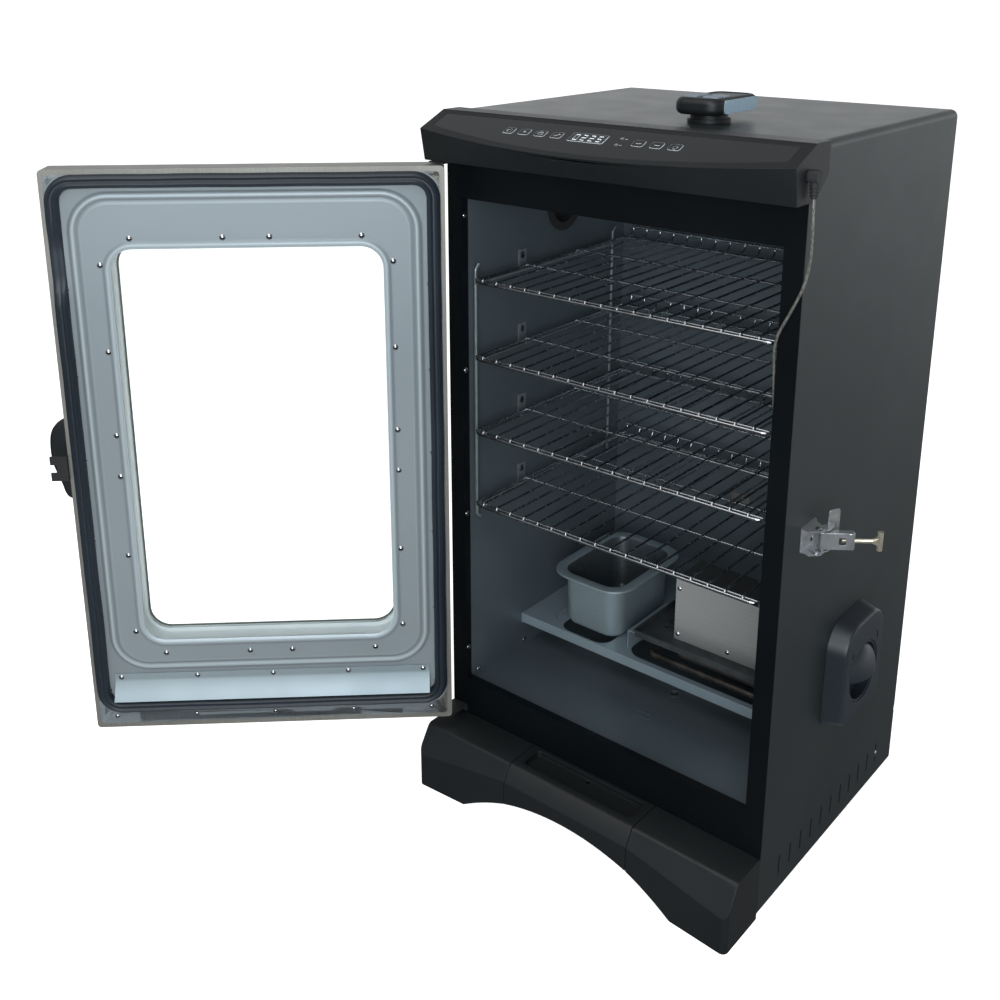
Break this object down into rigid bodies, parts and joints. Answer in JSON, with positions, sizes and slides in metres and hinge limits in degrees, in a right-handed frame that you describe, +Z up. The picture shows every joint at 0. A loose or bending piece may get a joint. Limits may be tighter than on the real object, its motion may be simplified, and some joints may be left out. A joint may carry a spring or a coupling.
{
  "type": "electric cabinet smoker",
  "caption": "Upright insulated electric smoker cabinet with a swinging windowed door, sliding racks, side chip loader, side draw latch and a slide-out drip tray.",
  "frame": {"origin": "on the floor, under the middle of the whole object's box with the door standing open", "axes": "+X to the viewer's right, +Y to the cabinet's back, +Z up; the chamber opens towards -Y"},
  "size_m": [0.8524, 0.7316, 0.8656],
  "materials": {
    "powder_coat": "fine satin powder coat",
    "front_enamel": "semi-gloss black",
    "chamber_steel": "dark blue-grey heat-tinted sheet",
    "mineral_wool": "matted fibre",
    "charcoal_plastic": "finely grained",
    "black_rubber": "matt",
    "gloss_panel": "glossy black",
    "lens": "dark tinted lens",
    "circuit_board": "green board",
    "stainless": "fine brushed",
    "element_metal": "heat-darkened sheath",
    "grey_enamel": "speckled enamel",
    "chrome_wire": "bright plated",
    "zinc_steel": "zinc plated",
    "black_steel": "black stove paint",
    "aluminised": "aluminised, light blue-grey",
    "clear_glass": "clear tempered",
    "gasket_rubber": "matt navy-black silicone",
    "pale_plastic": "light blue-grey",
    "grey_keys": "soft grey"
  },
  "bodies": {
    "cabinet": {"outer_shell": "powder_coat", "back_panel": "powder_coat", "front_frame": "front_enamel", "inner_liner": "chamber_steel", "cabinet_insulation": "mineral_wool", "bottom_plate": "powder_coat", "base_skirt": "powder_coat", "left_front_foot": "charcoal_plastic", "right_front_foot": "charcoal_plastic", "rear_feet": "black_rubber", "control_housing": "charcoal_plastic", "control_panel": "gloss_panel", "display_window": "lens", "circuit_board": "circuit_board", "power_cord": "black_rubber", "element_shelf": "stainless", "heating_element": "element_metal", "chip_housing": "stainless", "rack_supports": "chrome_wire", "loader_housing": "charcoal_plastic", "latch_base": "chrome_wire", "hinge_brackets": "zinc_steel", "exhaust_collar": "black_steel", "cabinet_fasteners": "chrome_wire", "temperature_sensor": "stainless", "probe_plug": "black_rubber", "probe_cable": "stainless", "probe_needle": "stainless"},
    "door": {"door_skin": "stainless", "door_inner_panel": "aluminised", "door_insulation": "mineral_wool", "window_panes": "clear_glass", "window_frame": "zinc_steel", "window_seal": "black_rubber", "door_gasket": "gasket_rubber", "drip_lip": "stainless", "door_fasteners": "chrome_wire", "door_handle": "charcoal_plastic", "latch_strike": "stainless", "hinge_plates": "zinc_steel"},
    "rack_1": {"rack_1": "chrome_wire"},
    "rack_2": {"rack_2": "chrome_wire"},
    "rack_3": {"rack_3": "chrome_wire"},
    "rack_4": {"rack_4": "chrome_wire"},
    "water_pan": {"water_pan": "grey_enamel"},
    "chip_tray": {"chip_tray": "grey_enamel"},
    "drip_tray": {"drip_tray": "charcoal_plastic"},
    "loader_slide": {"loader_ring": "charcoal_plastic"},
    "loader_handle": {"loader_knob": "charcoal_plastic", "chip_scoop": "stainless"},
    "latch_lever": {"latch_lever": "chrome_wire"},
    "latch_link": {"latch_link": "chrome_wire", "t_bolt": "chrome_wire"},
    "vent_damper": {"vent_damper": "black_steel"},
    "remote": {"remote_case": "charcoal_plastic", "remote_trim": "pale_plastic"},
    "remote_key_power": {"remote_key_power": "grey_keys"},
    "remote_key_light": {"remote_key_light": "grey_keys"},
    "remote_key_up": {"remote_key_up": "grey_keys"},
    "remote_key_down": {"remote_key_down": "grey_keys"}
  },
  "joints": [
    {"name": "door_hinge", "type": "hinge", "parent": "cabinet", "child": "door", "pos_m": [-0.0696, -0.0395, 0.4366], "axis": [0, 0, -1], "range_deg": [-136.9, 43]},
    {"name": "rack_slide_1", "type": "slide", "parent": "cabinet", "child": "rack_1", "axis": [0, -1, 0], "range_m": [0, 0.2]},
    {"name": "rack_slide_2", "type": "slide", "parent": "cabinet", "child": "rack_2", "axis": [0, -1, 0], "range_m": [0, 0.2]},
    {"name": "rack_slide_3", "type": "slide", "parent": "cabinet", "child": "rack_3", "axis": [0, -1, 0], "range_m": [0, 0.2]},
    {"name": "rack_slide_4", "type": "slide", "parent": "cabinet", "child": "rack_4", "axis": [0, -1, 0], "range_m": [0, 0.2]},
    {"name": "water_pan_slide", "type": "slide", "parent": "cabinet", "child": "water_pan", "axis": [0, -1, 0], "range_m": [0, 0.1]},
    {"name": "chip_tray_slide", "type": "slide", "parent": "cabinet", "child": "chip_tray", "axis": [0, -1, 0], "range_m": [0, 0.09]},
    {"name": "drip_tray_slide", "type": "slide", "parent": "cabinet", "child": "drip_tray", "axis": [0, -1, 0], "range_m": [0, 0.12]},
    {"name": "loader_pull", "type": "slide", "parent": "cabinet", "child": "loader_slide", "axis": [1, 0, 0], "range_m": [0, 0.15]},
    {"name": "loader_turn", "type": "hinge", "parent": "loader_slide", "child": "loader_handle", "pos_m": [0.3655, 0.1638, 0.228], "axis": [1, 0, 0], "range_deg": [0, 180]},
    {"name": "latch_lever_pivot", "type": "hinge", "parent": "cabinet", "child": "latch_lever", "pos_m": [0.3752, 0.0308, 0.4385], "axis": [0, 0, -1], "range_deg": [-10, 130]},
    {"name": "latch_link_pivot", "type": "hinge", "parent": "latch_lever", "child": "latch_link", "pos_m": [0.37783, 0.03619, 0.4385], "axis": [0, 0, 1], "range_deg": [-136, 0]},
    {"name": "vent_damper_turn", "type": "hinge", "parent": "cabinet", "child": "vent_damper", "pos_m": [-0.0898, 0.1768, 0.708], "axis": [1, 0, 0], "range_deg": [0, 45]},
    {"name": "remote_lift", "type": "slide", "parent": "cabinet", "child": "remote", "axis": [0, 0, 1], "range_m": [0, 0.05]},
    {"name": "power_press", "type": "slide", "parent": "remote", "child": "remote_key_power", "axis": [0, 0, -1], "range_m": [0, 0.0008], "stiffness_N_per_m": 60},
    {"name": "light_press", "type": "slide", "parent": "remote", "child": "remote_key_light", "axis": [0, 0, -1], "range_m": [0, 0.0008], "stiffness_N_per_m": 60},
    {"name": "up_press", "type": "slide", "parent": "remote", "child": "remote_key_up", "axis": [0, 0, -1], "range_m": [0, 0.0008], "stiffness_N_per_m": 60},
    {"name": "down_press", "type": "slide", "parent": "remote", "child": "remote_key_down", "axis": [0, 0, -1], "range_m": [0, 0.0008], "stiffness_N_per_m": 60}
  ]
}
